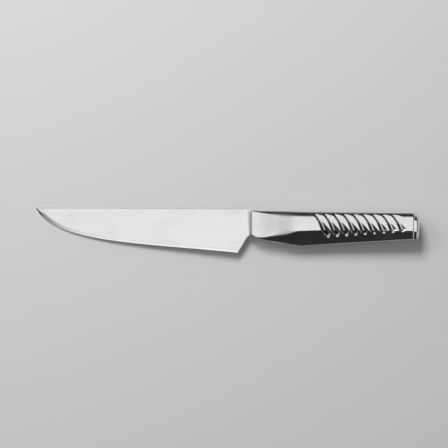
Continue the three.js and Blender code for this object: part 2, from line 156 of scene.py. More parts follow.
# Flutes
FLUTE_COUNT = 9
FLUTE_PITCH = 7.75
FIRST_FLUTE = 51.4
FLUTE_REACH = 18.6
FLUTE_OVERRUN = 1.2
FLUTE_LEAN = 10.3
FLUTE_BEND = 0.35
FLUTE_BEND_SHIFT = 0.1
FLUTE_WALL = 2.1
FLUTE_RAMP = FLUTE_PITCH - FLUTE_WALL
FLUTE_DEPTH = 0.8
SCOOP_START = 0.365
SCOOP_FALL = 3
SCOOP_FLOOR = 1.4
SCOOP_SLOPE = 0.28
SCOOP_TURN = 0.22
SCOOP_LEAST_ROOM = 0.08
FLUTE_TOP_FULLNESS = 4
FLUTE_LOW_FULLNESS = 3.6
FLUTE_TOP = (1.0, 1.7)
FLUTE_LOW = (5.4, 6.5)
FLUTE_RUN = (FIRST_FLUTE, 122.8)
FLUTE_CREASE = 0.12
LEAN_START = 30
FLUTE_SIZES = {
    "Count": FLUTE_COUNT,
    "Pitch": FLUTE_PITCH,
    "First": FIRST_FLUTE,
    "Reach": FLUTE_REACH,
    "Lean": FLUTE_LEAN,
    "Bend": FLUTE_BEND,
    "Bend shift": FLUTE_BEND_SHIFT,
    "Wall": FLUTE_WALL,
    "Ramp": FLUTE_RAMP,
    "Depth": FLUTE_DEPTH,
    "Scoop start": SCOOP_START,
    "Scoop fall": SCOOP_FALL,
    "Scoop floor": SCOOP_FLOOR,
    "Scoop slope": SCOOP_SLOPE,
    "Scoop turn": SCOOP_TURN,
    "Top fullness": FLUTE_TOP_FULLNESS,
    "Low fullness": FLUTE_LOW_FULLNESS,
}

# Welds and cap
NECK_WELD_LEG_BACK = 3
NECK_WELD_LEG_BELLY = 1.8
NECK_WELD_HOLLOW = 0.12
NECK_WELD_RISE = 0.2
NECK_WELD_LAP = 0.1
NECK_WELD_ROWS = 60
NECK_WELD_STEPS = 17
NECK_WELD_SHARP = 40
BEAD_HALF = 1.05
BEAD_HEIGHT = 0.35
BEAD_SINK = 0.27
BEAD_SIDES = 20
BEAD_STEPS = 120
BEAD_END_TURNS = (0.1, 1.55, 10)
BEAD_SHARP = 50
CAP_FRONT = SHELL_END + FIT_GAP
CAP_RIM = 2
CAP_DOME = 2.69
CAP_DOME_TURN = 0.49 * np.pi
CAP_EDGE = 0.2
CAP_DROP = 6.5
CAP_RISE = 6
CAP_FOOT = 0.42
CAP_ROUNDING = 1
CAP_SPIGOT = 3.8
CAP_SIDES = 128
CAP_EDGE_RINGS = 6
CAP_DOME_RINGS = 32
CAP_SHARP = 50

# Camera: the middle of the picture and its width at the knife
PICTURE_PIXELS = 448
PIXEL = 0.7945
PICTURE_MIDDLE = (-20.66, -12.0)
CAMERA_DISTANCE = 2.5
SENSOR = 36

# Lamps: place and size in metres, radiance, and turn in degrees for those that don't face straight down
LAMPS = {
    "overhead_box": ((-0.03, -0.095, 1.5), (1.06, 1.05), 1.0),
    "left_wing": ((-1.225, 0.05, 1.5), (1.25, 0.5), 0.9),
    "edge_strip": ((-0.185, -0.75, 1.5), (0.47, 0.26), 1.2),
    "throat_strip": ((-0.635, -0.81, 1.5), (0.43, 0.38), 0.5),
    "corner_fill": ((-0.74, -0.41, 1.5), (0.36, 0.42), 0.25),
    "side_panel": ((-1.8, 0.4, 0.9), (1.4, 1.0), 0.7, (0, -90, 0)),
    "butt_panel": ((1.09, -1.3, 0.4), (1.3, 0.7), 1.0, (77, 0, 40)),
    "glint_lamp": ((-1.38, 0.9, 1.54), (0.55, 0.55), 9.0, (-47, 0, 57)),
    "far_panel": ((1.07, 1.92, 0.83), (1.5, 1.2), 0.45, (-69, 0, -29)),
    "back_panel": ((-0.17, 2.0, 0.72), (0.78, 0.87), 0.3, (-70, 0, 5)),
    "end_panel": ((2.1, -0.05, 0.72), (0.8, 0.55), 0.3, (0, 70, 0)),
    "flute_fill": ((1.36, 0.82, 1.5), (0.5, 0.5), 0.2, (-45, 0, -57)),
    "corner_panel": ((-1.64, 1.47, 0.65), (1.6, 0.93), 0.6, (-74, 0, 48)),
    "near_panel": ((-1.71, -1.39, 0.52), (1.02, 0.74), 0.6, (77, 0, -51)),
    "floor_lamp": ((-0.3, 1.1, 1.2), (0.6, 0.6), 21.0, (-42, 0, 0)),
}
UNMIRRORED_LAMP = "floor_lamp"
WORLD_COLOUR = (0.025, 0.025, 0.026)
FLOOR_HALF = 3
FLOOR_COLOUR = (0.57, 0.57, 0.567)
FLOOR_ROUGHNESS = 0.7
FLOOR_SPECULAR = 0.1

# Finishes: bright and dull grey, least and greatest roughness, and length, width and depth of the brush lines
BLADE_STEEL = "ground_blade_steel"
HANDLE_STEEL = "satin_handle_steel"
WELD_STEEL = "ground_weld_steel"
CAP_STEEL = "satin_cap_steel"
FINISHES = {
    BLADE_STEEL: ((0.88, 0.885, 0.89), (0.82, 0.825, 0.83), (0.2, 0.3), (40, 0.3, 0.002)),
    HANDLE_STEEL: ((0.77, 0.77, 0.775), (0.69, 0.69, 0.695), (0.12, 0.2), (60, 0.25, 0.01)),
    WELD_STEEL: ((0.76, 0.76, 0.765), (0.68, 0.68, 0.685), (0.22, 0.34), (8, 0.25, 0.004)),
    CAP_STEEL: ((0.8, 0.8, 0.805), (0.72, 0.72, 0.725), (0.14, 0.22), (20, 0.25, 0.003)),
}
GREY_SPAN = (0.25, 0.75)
BRUSH_STRETCH = {"Fine": 1, "Broad": 7}
BRUSH_DETAIL = 4
BRUSH_ROUGHNESS = 0.65
MARK_SIZE = 0.02
MARK_DETAIL = 3
MARK_SPAN = (0.42, 0.72)
MARK_ROUGHNESS = 0.04

# Honed bevel: tones of painted shade across twice its width, from the edge, darkest in a line along its
# shoulder and with the flat face painted a little darker than the bevel, and the share of its roughness that
# is left
BEVEL_PAINTED_SHADE = ((0.36, 1), (0.45, 0.86), (0.53, 0.87))
FACE_PAINTED_SHADE = (0.62, 0.96)
BEVEL_SMOOTHNESS = 0.7

# Painted shade in the flute ends: their depth in millimetres times the gain, less the start, is how far the
# painted shade darkens them towards the tone
HOLLOW_GAIN = 0.85
HOLLOW_START = 0.5
HOLLOW_SHADE = 0.4


def knife_placement():
    """Carries the knife's own axes, in millimetres, to where the knife lies in the frame."""
    mounts = {mount["name"]: mount for mount in frame["record"]["mounts"]}
    left = mounts["left_blade_face"]
    right = mounts["right_blade_face"]
    across = Vector(left["axis"]) - Vector(right["axis"])
    middle = (Vector(left["pos_m"]) + Vector(right["pos_m"])) / 2
    tilt = math.atan2(across.x, across.z)
    low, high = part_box("blade")
    x = low.x + BLADE_LENGTH * MM * math.cos(tilt)
    y = high.y - TIP_RISE * MM
    z = middle.z + (middle.x - x) * math.tan(tilt)
    return Matrix.Translation((x, y, z)) @ Matrix.Rotation(tilt, 4, "Y") @ Matrix.Scale(MM, 4)


PLACEMENT = knife_placement()


def mix(a, b, share):
    return a + (b - a) * share


def quarter_turn(count):
    return np.linspace(0, np.pi / 2, count)


def round_off(share):
    """How far a quarter circle has fallen at a share of the way along it."""
    return 1 - np.sqrt(1 - share**2)


# Camera, light and floor


def make_camera():
    """Looks straight down, with the photograph's frame at the height of the knife."""
    data = bpy.data.cameras.new("camera")
    data.sensor_width = SENSOR
    data.lens = SENSOR * CAMERA_DISTANCE / (PICTURE_PIXELS * PIXEL * MM)
    camera = bpy.data.objects.new("camera", data)
    target = PLACEMENT @ Vector((*PICTURE_MIDDLE, 0))
    camera.location = target + Vector((0, 0, CAMERA_DISTANCE))
    bpy.context.scene.collection.objects.link(camera)
    bpy.context.scene.camera = camera


def make_lamp(name, place, size, radiance, turn=(0, 0, 0)):
    """A soft box that faces down until it is turned: at radiance 1 it shows as white in a mirror."""
    data = bpy.data.lights.new(name, "AREA")
    data.shape = "RECTANGLE"
    data.size, data.size_y = size
    data.energy = radiance * math.pi * size[0] * size[1]
    lamp = bpy.data.objects.new(name, data)
    lamp.location = place
    lamp.rotation_euler = [math.radians(angle) for angle in turn]
    lamp.visible_glossy = name != UNMIRRORED_LAMP
    lamp.visible_camera = False
    bpy.context.scene.collection.objects.link(lamp)


def make_light():
    world = bpy.data.worlds.new("studio")
    world.use_nodes = True
    world.node_tree.nodes["Background"].inputs["Color"].default_value = (*WORLD_COLOUR, 1)
    bpy.context.scene.world = world
    for name, lamp in LAMPS.items():
        make_lamp(name, *lamp)


def make_floor():
    corners = [(x * FLOOR_HALF, y * FLOOR_HALF, 0) for x, y in ((-1, -1), (1, -1), (1, 1), (-1, 1))]
    data = bpy.data.meshes.new("floor")
    data.from_pydata(corners, [], [(0, 1, 2, 3)])
    floor = bpy.data.objects.new("floor", data)
    floor.location.z = cad_box[0].z
    material = bpy.data.materials.new("pale_floor")
    material.use_nodes = True
    shader = material.node_tree.nodes["Principled BSDF"]
    shader.inputs["Base Color"].default_value = (*FLOOR_COLOUR, 1)
    shader.inputs["Roughness"].default_value = FLOOR_ROUGHNESS
    shader.inputs["Specular IOR Level"].default_value = FLOOR_SPECULAR
    data.materials.append(material)
    bpy.context.scene.collection.objects.link(floor)


# Node trees


def wire(tree, kind, *inputs, **settings):
    """Adds a node with its settings, feeds its inputs in order, and gives its first output."""
    node = tree.nodes.new(kind)
    for name, value in settings.items():
        setattr(node, name, value)
    for socket, value in zip(node.inputs, inputs):
        if isinstance(value, bpy.types.NodeSocket):
            tree.links.new(value, socket)
        elif value is not None:
            socket.default_value = value
    return node.outputs[0]


def sum_of(tree, operation, *values):
    return wire(tree, "ShaderNodeMath", *values, operation=operation)


def between(tree, share, low, high):
    """The value that lies a share of the way from low to high."""
    node = tree.nodes.new("ShaderNodeMapRange")
    for name, value in (("Value", share), ("To Min", low), ("To Max", high)):
        if isinstance(value, bpy.types.NodeSocket):
            tree.links.new(value, node.inputs[name])
        else:
            node.inputs[name].default_value = value
    return node.outputs["Result"]


def new_tree(name, kind, inputs, outputs):
    """A node group with named sockets, and its inputs by name."""
    tree = bpy.data.node_groups.new(name, kind)
    for label, socket in inputs:
        tree.interface.new_socket(label, in_out="INPUT", socket_type=socket)
    for label, socket in outputs:
        tree.interface.new_socket(label, in_out="OUTPUT", socket_type=socket)
    source = tree.nodes.new("NodeGroupInput")
    sink = tree.nodes.new("NodeGroupOutput")
    return tree, source.outputs, sink.inputs


def shape_tree(name, sizes):
    """A geometry tree that takes a shape, named sizes and a finish."""
    shape = [("Geometry", "NodeSocketGeometry")]
    inputs = [*shape, *((size, "NodeSocketFloat") for size in sizes), ("Finish", "NodeSocketMaterial")]
    return new_tree(name, "GeometryNodeTree", inputs, shape)


def end_shape_tree(tree, given, out, shape):
    """Makes the instances real, sets the finish and hands the shape out."""
    whole = wire(tree, "GeometryNodeRealizeInstances", shape)
    finished = wire(tree, "GeometryNodeSetMaterial", whole, None, given["Finish"])
    tree.links.new(finished, out["Geometry"])


def stored(tree, name):
    """The outputs for a value that the mesh holds at its points."""
    node = tree.nodes.new("ShaderNodeAttribute")
    node.attribute_name = name
    return node.outputs


# Materials


def streak_group():
    """Brush lines along the first axis of a grain vector in millimetres: fine ones and broad ones."""
    sockets = [("Grain", "NodeSocketVector"), ("Length", "NodeSocketFloat"), ("Width", "NodeSocketFloat")]
    results = [("Fine", "NodeSocketFloat"), ("Broad", "NodeSocketFloat")]
    tree, given, out = new_tree("Brush lines", "ShaderNodeTree", sockets, results)
    for label, stretch in BRUSH_STRETCH.items():
        along = sum_of(tree, "DIVIDE", 1.0, sum_of(tree, "MULTIPLY", given["Length"], stretch))
        across = sum_of(tree, "DIVIDE", 1.0, sum_of(tree, "MULTIPLY", given["Width"], stretch))
        scale = wire(tree, "ShaderNodeCombineXYZ", along, across, across)
        vector = wire(tree, "ShaderNodeVectorMath", given["Grain"], scale, operation="MULTIPLY")
        noise = tree.nodes.new("ShaderNodeTexNoise")
        tree.links.new(vector, noise.inputs["Vector"])
        noise.inputs["Scale"].default_value = 1
        noise.inputs["Detail"].default_value = BRUSH_DETAIL
        noise.inputs["Roughness"].default_value = BRUSH_ROUGHNESS
        tree.links.new(noise.outputs["Fac"], out[label])
    return tree


def smudge_group():
    """Faint cloudy marks of handling, from 0 to 1."""
    tree, given, out = new_tree(
        "Handling marks",
        "ShaderNodeTree",
        [("Place", "NodeSocketVector"), ("Size", "NodeSocketFloat")],
        [("Mark", "NodeSocketFloat")],
    )
    noise = tree.nodes.new("ShaderNodeTexNoise")
    tree.links.new(given["Place"], noise.inputs["Vector"])
    tree.links.new(sum_of(tree, "DIVIDE", 1.0, given["Size"]), noise.inputs["Scale"])
    noise.inputs["Detail"].default_value = MARK_DETAIL
    ramp = tree.nodes.new("ShaderNodeMapRange")
    ramp.interpolation_type = "SMOOTHSTEP"
    tree.links.new(noise.outputs["Fac"], ramp.inputs["Value"])
    for label, level in zip(("From Min", "From Max"), MARK_SPAN):
        ramp.inputs[label].default_value = level
    tree.links.new(ramp.outputs["Result"], out["Mark"])
    return tree


STREAKS = streak_group()
SMUDGES = smudge_group()


def honed_bevel_with_painted_shade(tree, colour, rough):
    """Smooths the cutting bevel, paints a line of shade along its shoulder and paints the flat face a little
    darker than the bevel.
    """
    bevel = stored(tree, "bevel")["Fac"]
    painted_shade = wire(tree, "ShaderNodeValToRGB", sum_of(tree, "MULTIPLY", bevel, 0.5))
    ramp = painted_shade.node.color_ramp
    for place, level in BEVEL_PAINTED_SHADE:
        ramp.elements.new(place).color = (level, level, level, 1)
    place, level = FACE_PAINTED_SHADE
    ramp.elements[0].color = (1, 1, 1, 1)
    ramp.elements[-1].position = place
    ramp.elements[-1].color = (level, level, level, 1)
    shade_painted_colour = wire(tree, "ShaderNodeVectorMath", colour, painted_shade, operation="MULTIPLY")
    last_quarter = sum_of(tree, "MULTIPLY_ADD", bevel, 4.0, -3.0)
    return shade_painted_colour, sum_of(tree, "MULTIPLY", rough, between(tree, last_quarter, BEVEL_SMOOTHNESS, 1.0))


def painted_hollow_shade(tree, colour):
    """Paints shade into the deep ends of the flutes, darker the deeper they are pressed."""
    depth = sum_of(tree, "MULTIPLY_ADD", stored(tree, "hollow")["Fac"], HOLLOW_GAIN, -HOLLOW_START)
    painted_shade = between(tree, depth, 1.0, HOLLOW_SHADE)
    return wire(tree, "ShaderNodeVectorMath", colour, painted_shade, operation="MULTIPLY")


def satin_steel(name, bright, dull, roughness, line_size):
    """Brushed steel between two greys and two roughnesses, with brush lines along the grain; the blade's
    finish has shade painted along its bevel's shoulder, and the handle's has shade painted into its flute
    ends.
    """
    line_length, line_width, line_depth = line_size
    material = bpy.data.materials.new(name)
    material.use_nodes = True
    tree = material.node_tree
    shader = tree.nodes["Principled BSDF"]
    shader.inputs["Metallic"].default_value = 1
    lines = tree.nodes.new("ShaderNodeGroup")
    lines.node_tree = STREAKS
    tree.links.new(stored(tree, "grain")["Vector"], lines.inputs["Grain"])
    lines.inputs["Length"].default_value = line_length
    lines.inputs["Width"].default_value = line_width
    marks = tree.nodes.new("ShaderNodeGroup")
    marks.node_tree = SMUDGES
    place = tree.nodes.new("ShaderNodeTexCoord")
    tree.links.new(place.outputs["Object"], marks.inputs["Place"])
    marks.inputs["Size"].default_value = MARK_SIZE
    share = sum_of(tree, "MULTIPLY", lines.outputs["Fine"], lines.outputs["Broad"])
    share = sum_of(tree, "MULTIPLY", share, 2.0)
    colour = wire(tree, "ShaderNodeValToRGB", share)
    for element, position, grey in zip(colour.node.color_ramp.elements, GREY_SPAN, (dull, bright)):
        element.position = position
        element.color = (*grey, 1)
    rough = between(tree, lines.outputs["Fine"], *roughness)
    rough = sum_of(tree, "MULTIPLY_ADD", marks.outputs["Mark"], MARK_ROUGHNESS, rough)
    # The blade's colour gets painted shade: a dark line along the bevel's shoulder and a slightly darker
    # face.
    if name == BLADE_STEEL:
        colour, rough = honed_bevel_with_painted_shade(tree, colour, rough)
    # The handle's colour gets painted shade in the deep ends of its flutes.
    if name == HANDLE_STEEL:
        colour = painted_hollow_shade(tree, colour)
    tree.links.new(colour, shader.inputs["Base Color"])
    tree.links.new(rough, shader.inputs["Roughness"])
    bump = tree.nodes.new("ShaderNodeBump")
    bump.inputs["Strength"].default_value = 1
    bump.inputs["Distance"].default_value = line_depth * MM
    tree.links.new(lines.outputs["Fine"], bump.inputs["Height"])
    tree.links.new(bump.outputs["Normal"], shader.inputs["Normal"])
    return material


STEEL = {name: satin_steel(name, *finish) for name, finish in FINISHES.items()}


# Meshes


def mesh_from_rings(name, rings, **attributes):
    """A closed skin over rings of points, all of one count, with values stored at its points."""
    ring_count, size = rings.shape[:2]
    number = np.arange(ring_count * size).reshape(ring_count, size)
    after = np.roll(number, -1, axis=1)
    quads = np.stack([number[:-1], after[:-1], after[1:], number[1:]], axis=-1).reshape(-1, 4)
    faces = [*quads.tolist(), number[0].tolist(), number[-1, ::-1].tolist()]
    mesh = bpy.data.meshes.new(name)
    mesh.from_pydata(rings.reshape(-1, 3).tolist(), [], faces)
    for label, values in attributes.items():
        kind, field = ("FLOAT_VECTOR", "vector") if values.ndim == 3 else ("FLOAT", "value")
        held = mesh.attributes.new(label, kind, "POINT")
        held.data.foreach_set(field, values.astype(np.float32).ravel())
    return mesh


def tidy_mesh(mesh, sharp_angle):
    """Merges doubled points, turns the faces outwards and smooths all but the sharp edges."""
    work = bmesh.new()
    work.from_mesh(mesh)
    bmesh.ops.remove_doubles(work, verts=work.verts, dist=SAME_POINT)
    bmesh.ops.dissolve_degenerate(work, edges=work.edges, dist=NO_LENGTH)
    bmesh.ops.recalc_face_normals(work, faces=work.faces)
    work.to_mesh(mesh)
    work.free()
    mesh.shade_smooth()
    mesh.set_sharp_from_angle(angle=math.radians(sharp_angle))


def place_piece(name, mesh, slot):
    """Lays a mesh where the knife lies, as the piece that stands for the node of the same name."""
    mesh.transform(PLACEMENT)
    mesh.update()
    if slot not in mesh.materials:
        mesh.materials.clear()
        mesh.materials.append(STEEL[slot])
    piece = bpy.data.objects.new(f"{name}_finish", mesh)
    bpy.context.scene.collection.objects.link(piece)
    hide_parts(name)
    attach(piece, "root")


# Blade


def direction(degrees):
    return np.array([math.cos(math.radians(degrees)), math.sin(math.radians(degrees))])


TIP = np.array([-BLADE_LENGTH, TIP_RISE])
NECK_BELLY = -STATIONS["neck"][1][1]
NOTCH = HEEL + direction(HEEL_BACK_ANGLE) * (NECK_BELLY - HEEL[1]) / math.sin(math.radians(HEEL_BACK_ANGLE))


def bezier(points, steps):
    """Points of a Bezier curve of any degree."""
    share = np.linspace(0, 1, steps + 1)[:, None]
    degree = len(points) - 1
    return sum(
        math.comb(degree, order) * share**order * (1 - share) ** (degree - order) * np.array(point)
        for order, point in enumerate(points)
    )


def cutting_edge(steps):
    """Points from the tip to the heel."""
    leave = TIP + direction(-EDGE_TIP_ANGLE) * EDGE_TIP_REACH
    arrive = HEEL + direction(180 - EDGE_HEEL_ANGLE) * EDGE_HEEL_REACH
    return bezier([TIP, leave, arrive, HEEL], steps)


EDGE = cutting_edge(EDGE_STEPS)


def blade_half(x, y):
    """Half thickness of the flat-ground blade: a plane by neck, tip and heel that thins into the point."""
    corners = np.array([[0, 0, 1], [*TIP, 1], [*HEEL, 1]])
    slope_x, slope_y, level = np.linalg.solve(corners, [NECK_HALF, TIP_HALF, HEEL_HALF])
    return mix(POINT_HALF, slope_x * x + slope_y * y + level, past_point(x))


def past_point(x):
    """Runs smoothly from 0 at the tip to 1 where the blade has its full thickness."""
    share = np.clip((x - TIP[0]) / POINT_LENGTH, 0, 1)
    return share**2 * (3 - 2 * share)


def bevel_half(x, y):
    """Half thickness that the cutting bevel leaves, ground more steeply at the point."""
    angle = np.radians(mix(POINT_BEVEL_ANGLE, BEVEL_ANGLE, past_point(x)))
    return EDGE_HALF + edge_distance(x, y) * np.tan(angle)


def edge_distance(x, y):
    """Distance to the cutting edge, which runs on straight past the heel."""
    line = np.vstack([EDGE, HEEL + direction(-EDGE_HEEL_ANGLE) * EDGE_OVERRUN])
    start = line[:-1]
    run = np.diff(line, axis=0)
    offset = np.stack([x, y], axis=-1)[..., None, :] - start
    share = np.clip((offset * run).sum(-1) / (run * run).sum(-1), 0, 1)
    gap = offset - share[..., None] * run
    return np.sqrt((gap * gap).sum(-1)).min(-1)


def ground_half(x, y):
    """Half thickness with the cutting bevel ground in."""
    return np.minimum(blade_half(x, y), bevel_half(x, y))


def lower_line():
    """The blade's lower outline from the tip to the root: edge, heel, back of the heel and notch."""
    back = direction(HEEL_BACK_ANGLE)
    fore = direction(180 - EDGE_HEEL_ANGLE)
    heel = bezier([HEEL + fore * HEEL_ROUND, HEEL, HEEL + back * HEEL_ROUND], HEEL_STEPS)
    notch = bezier([NOTCH - back * NOTCH_ROUND, NOTCH, (BLADE_ROOT, NOTCH[1])], NOTCH_STEPS)
    rise = np.linspace(heel[-1], notch[0], RISE_STEPS)[1:-1]
    return np.vstack([EDGE[EDGE[:, 0] < heel[0, 0] - 0.2], heel, rise, notch])


def upper_line(x):
    """Height of the spine, which rounds down into the handle at the root."""
    start = BLADE_ROOT - SHOULDER_ROUND
    share = np.clip((x - start) / SHOULDER_ROUND, 0, 1)
    return np.minimum(0, x) * TIP_RISE / -BLADE_LENGTH - (1 - np.sqrt(1 - share**2 * 0.9999))


def shoulder_depths(x, top, low):
    """Depth below the spine, on upright lines, at which the cutting bevel starts."""
    above = np.zeros_like(x)
    below = top - low
    for _ in range(SHOULDER_HALVINGS):
        depth = (above + below) / 2
        y = top - depth
        flat = blade_half(x, y) < bevel_half(x, y)
        above = np.where(flat, depth, above)
        below = np.where(flat, below, depth)
    return above


def rounded(depth, reach, half_top, half_low):
    """How much the rounded spine and the eased lower edge take off the half thickness at a depth."""
    spine = np.minimum(SPINE_ROUND, ROUND_SHARE * half_top)
    back = np.minimum(BACK_ROUND, ROUND_SHARE * half_low)
    from_top = np.clip(1 - depth / spine, 0, 1)
    from_low = np.clip(1 - (reach - depth) / back, 0, 1)
    return spine * round_off(from_top) + back * round_off(from_low)


def blade_mesh():
    """Upright rings from the tip to the root, then the tang inside the handle."""
    line = lower_line()
    x, low = line[1:, 0], line[1:, 1]
    top = upper_line(x)
    reach = top - low
    shoulder = shoulder_depths(x, top, low)
    spine = np.minimum(SPINE_ROUND, SPINE_SHARE * reach)
    arc = 1 - np.cos(quarter_turn(SPINE_ROWS))
    shoulder = np.clip(shoulder, 1.5 * spine, reach - 0.01)
    back = np.minimum(BACK_ROUND, BACK_SHARE * (reach - spine))
    depths = np.concatenate(
        [
            spine[:, None] * arc,
            mix(spine, shoulder, np.linspace(0, 1, FACE_ROWS)[1:, None]).T,
            mix(shoulder, np.maximum(reach - back, shoulder), np.linspace(0, 1, BEVEL_ROWS)[1:, None]).T,
            reach[:, None] - back[:, None] * (1 - np.sin(quarter_turn(BEVEL_ROWS)))[1:],
        ],
        axis=1,
    )
    depths = np.maximum.accumulate(depths, axis=1)
    across = x[:, None] + np.zeros_like(depths)
    y = top[:, None] - depths
    half = ground_half(across, y)
    half_top = ground_half(x, top)[:, None]
    half_low = ground_half(x, low)[:, None]
    half = np.maximum(half - rounded(depths, reach[:, None], half_top, half_low), LEAST_HALF)
    left = np.stack([across, y, half], axis=-1)
    right = np.stack([across, y, -half], axis=-1)[:, ::-1]
    blade = np.concatenate([left, right], axis=1)
    tip = np.array([*TIP, 0]) + blade[:1] * (0, 0, TIP_SHARE)
    tang = [tang_ring(blade[-1], BLADE_ROOT), tang_ring(blade[-1], TANG_LENGTH)]
    rings = np.concatenate([tip, blade, tang])
    width = edge_distance(x, top - shoulder)[:, None]
    bevel = edge_distance(across, y) / np.maximum(width, LEAST_BEVEL)
    bevel = np.concatenate([bevel, bevel[:, ::-1]], axis=1)
    bevel = np.concatenate([bevel[:1], bevel, bevel[-1:], bevel[-1:]])
    mesh = mesh_from_rings("blade", rings, grain=rings, bevel=bevel)
    tidy_mesh(mesh, BLADE_SHARP)
    return mesh


def tang_ring(root, x):
    """The root's ring drawn in to the tang's section."""
    share = (root[:, 1].max() - root[:, 1]) / np.ptp(root[:, 1])
    y = mix(TANG_TOP, TANG_LOW, share)
    half = blade_half(x, y) - WELD_SEAT
    return np.stack([np.full_like(y, x), y, np.sign(root[:, 2]) * half], axis=-1)


# Handle


def handle_lines(x):
    """The seven sizes of the section at distances along the handle, on a smooth curve each."""
    place = np.array([station[0] for station in STATIONS.values()], float)
    value = np.array([station[1] for station in STATIONS.values()], float)
    chord = np.diff(value, axis=0) / np.diff(place)[:, None]
    slope = np.vstack([chord[:1], (chord[1:] + chord[:-1]) / 2, chord[-1:]])
    span = np.clip(np.searchsorted(place, x) - 1, 0, len(place) - 2)
    width = (place[span + 1] - place[span])[..., None]
    t = ((x - place[span]) / width[..., 0])[..., None]
    lines = (
        (2 * t**3 - 3 * t**2 + 1) * value[span]
        + (t**3 - 2 * t**2 + t) * width * slope[span]
        + (3 * t**2 - 2 * t**3) * value[span + 1]
        + (t**3 - t**2) * width * slope[span + 1]
    )
    return np.moveaxis(lines, -1, 0)


def shrunk(section, inset):
    """The section drawn in all round."""
    top, panel_top, panel_low, bottom, half, keel, foot = section
    panel = PANEL_INSET_SHARE * inset
    return top - inset, panel_top - panel, panel_low + panel, bottom + inset, half - inset, keel, foot


def handle_section(x):
    """Heights of the top, panel and bottom, the half width, the belly's roundness and its underside."""
    back, belly, drop, rise, half, keel, foot = handle_lines(x)
    end = np.clip((x - SHELL_END + END_ROUND) / END_ROUND, 0, 1)
    front = np.clip((SHELL_FRONT + FRONT_ROUND - x) / FRONT_ROUND, 0, 1)
    inset = END_INSET * round_off(end) + FRONT_INSET * round_off(front)
    return shrunk((-back, -back - drop, rise - belly, -belly, half, keel, foot), inset)


def quarter(share, turn, fullness):
    """Falls from 1 to 0: a low turn starts the fall at once, and a high fullness puts it off."""
    return (1 - np.clip(share, 0, 1) ** turn) ** (1 / fullness)


def underside(section):
    """Height at which the belly's facet ends and the crowned underside starts, and how far that falls."""
    crown = UNDERSIDE_CROWN * np.clip(section[HALF] * section[FOOT] / 2, 0.01, 1)
    return section[BOTTOM] + crown, crown


def skin_height(section, y, rounding):
    """Height of the section's skin above the mid-plane, whose back edge rounds off a share of it."""
    top, panel_top, panel_low, _, half, keel, foot = section
    under, crown = underside(section)
    upper = mix(1 - rounding, 1, quarter((y - panel_top) / (top - panel_top), 2, 2))
    facet = mix(foot, 1, quarter((panel_low - y) / (panel_low - under), keel, 1))
    low = foot * quarter((under - y) / crown, 2, 2)
    return half * np.where(y > panel_top, upper, np.where(y >= under, facet, low))


def skin_rows(section, seam, rows):
    """Points of the rows of the skin from the back seam to the belly seam, close together where it turns."""
    back_rows, panel_rows, belly_rows, under_rows = rows
    cuts = np.cumsum([back_rows, panel_rows + 1, belly_rows])
    back, panel, belly, low = zip(*(np.split(value, cuts, axis=1) for value in section))
    rise = np.sin(quarter_turn(back_rows + 1))[:-1]
    back_z = mix(seam, back[HALF], rise)
    share = 1 - (1 - back_z / back[HALF]) / BACK_ROUNDING
    back_y = mix(back[PANEL_TOP], back[TOP], quarter(share, 2, 2))
    panel_y = mix(panel[PANEL_TOP], panel[PANEL_LOW], np.linspace(0, 1, panel_rows + 1))
    rise = np.sin(quarter_turn(belly_rows + 1))[-2::-1]
    edge = np.maximum(belly[FOOT] * belly[HALF], seam)
    belly_z = mix(edge, belly[HALF], rise)
    share = (belly_z / belly[HALF] - belly[FOOT]) / (1 - belly[FOOT])
    belly_y = mix(belly[PANEL_LOW], underside(belly)[0], quarter(share, 1, belly[KEEL]))
    edge = np.maximum(low[FOOT] * low[HALF], seam)
    low_z = mix(edge, seam, np.linspace(0, 1, under_rows + 1)[1:])
    under, crown = underside(low)
    low_y = under - crown * quarter(low_z / edge, 2, 2)
    y = np.concatenate([back_y, panel_y, belly_y, low_y], axis=1)
    return y, np.concatenate([back_z, panel[HALF], belly_z, low_z], axis=1)


def flute_band(section, x, y):
    """How far down the flutes a point is: as a share of each flute, and in millimetres."""
    along = np.clip((x - FLUTE_RUN[0]) / (FLUTE_RUN[1] - FLUTE_RUN[0]), 0, 1)
    upper = section[TOP] - mix(*FLUTE_TOP, along)
    lower = section[BOTTOM] + mix(*FLUTE_LOW, along)
    return (upper - y) / (upper - lower), upper - y


def flute_lean(fall):
    """How far the flutes have leaned towards the butt at a distance below their upper ends."""
    share = np.clip(fall / FLUTE_REACH, 0, FLUTE_OVERRUN)
    swing = np.sin(2 * np.pi * (share - FLUTE_BEND_SHIFT)) + math.sin(2 * np.pi * FLUTE_BEND_SHIFT)
    return FLUTE_LEAN * (share + FLUTE_BEND * swing / (2 * np.pi))


def shell_columns():
    """Where the skin's columns start at the back, and how much of the flutes' lean each takes."""
    front = SHELL_FRONT + FRONT_ROUND * (1 - np.cos(quarter_turn(FRONT_COLUMNS)))
    spans = (
        (front[-1], NOSE_END, NOSE_COLUMNS),
        (NOSE_END, NOSE_BACK, NOSE_BACK_COLUMNS),
        (NOSE_BACK, LEAN_START, THROAT_COLUMNS),
    )
    neck = np.concatenate([front[:-1], *(np.linspace(*span)[:-1] for span in spans)])
    crease = FLUTE_CREASE
    wall = [-FLUTE_WALL - crease, -FLUTE_WALL + crease, -0.66 * FLUTE_WALL, -0.33 * FLUTE_WALL, -crease]
    floor = [crease, 0.5 * SCOOP_FLOOR, SCOOP_FLOOR - crease, SCOOP_FLOOR + crease]
    rest = np.linspace(SCOOP_FLOOR + crease, FLUTE_RAMP - crease, RAMP_COLUMNS)[1:-1]
    flute = np.concatenate([wall, floor, rest])
    flutes = np.concatenate([FIRST_FLUTE + number * FLUTE_PITCH + flute for number in range(FLUTE_COUNT)])
    flutes = flutes[: len(flutes) - len(rest)]
    share = np.linspace(0, 1, SWELL_COLUMNS)[:-1]
    swell = mix(LEAN_START, flutes[0], share)
    turn = np.sin(quarter_turn(BUTT_COLUMNS))[1:]
    butt = mix(flutes[-1], SHELL_END, turn)
    start = np.concatenate([neck, swell, flutes, butt])
    lean = np.concatenate([neck * 0, share, flutes * 0 + 1, 1 - turn])
    return start, lean


